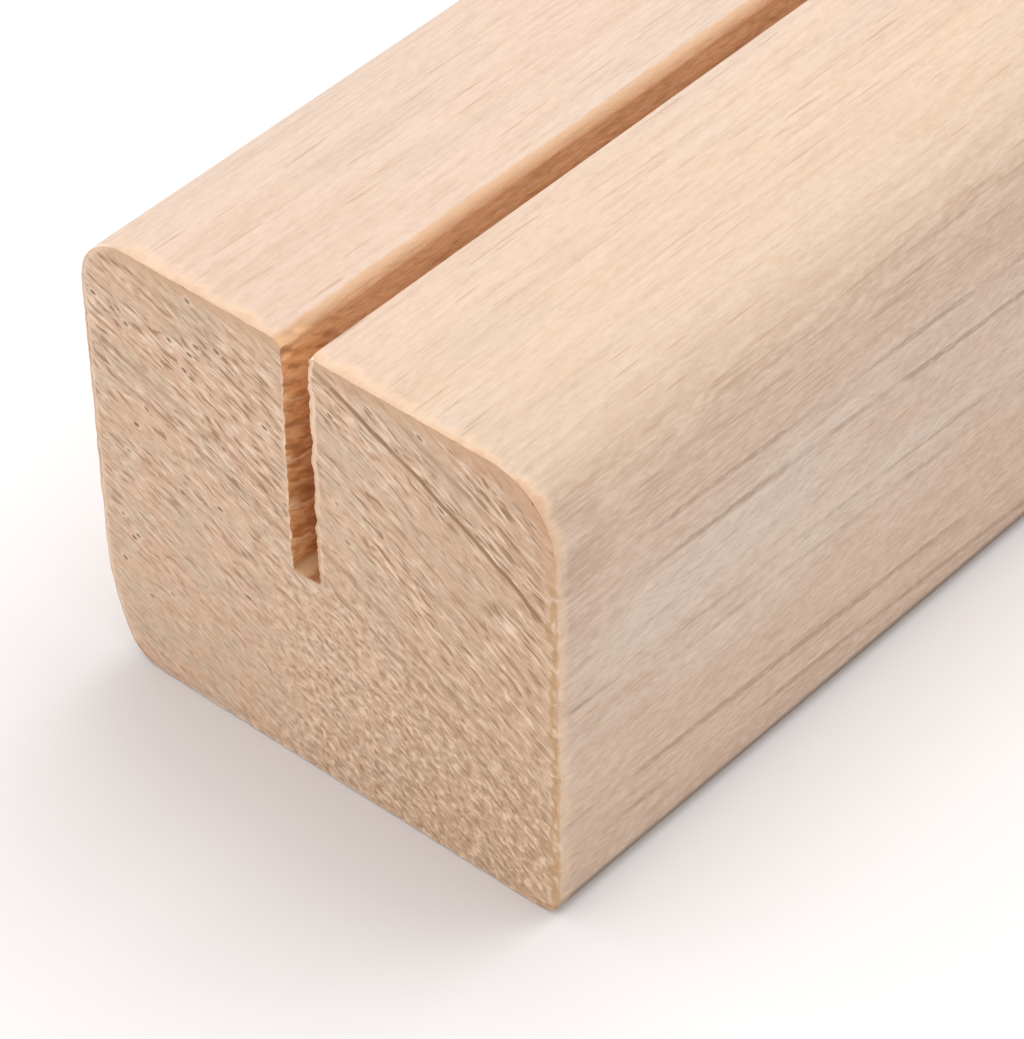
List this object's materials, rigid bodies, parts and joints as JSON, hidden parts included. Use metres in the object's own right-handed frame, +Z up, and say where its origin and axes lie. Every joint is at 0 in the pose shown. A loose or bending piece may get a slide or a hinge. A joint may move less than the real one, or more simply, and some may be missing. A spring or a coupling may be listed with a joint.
{
  "type": "photo block holder",
  "caption": "Solid wooden block with softly rounded edges and a narrow saw-cut slot along its top that stands a photo or card upright.",
  "frame": {"origin": "on the table, under the middle of the block's bounding box", "axes": "+X along the grain and the slot, +Y from the front face to the back face, +Z up"},
  "size_m": [0.12, 0.04, 0.036],
  "materials": {
    "pale_hardwood": "bare, finely sanded, fine straight grain"
  },
  "bodies": {
    "root": {"slotted_block": "pale_hardwood"}
  },
  "joints": []
}
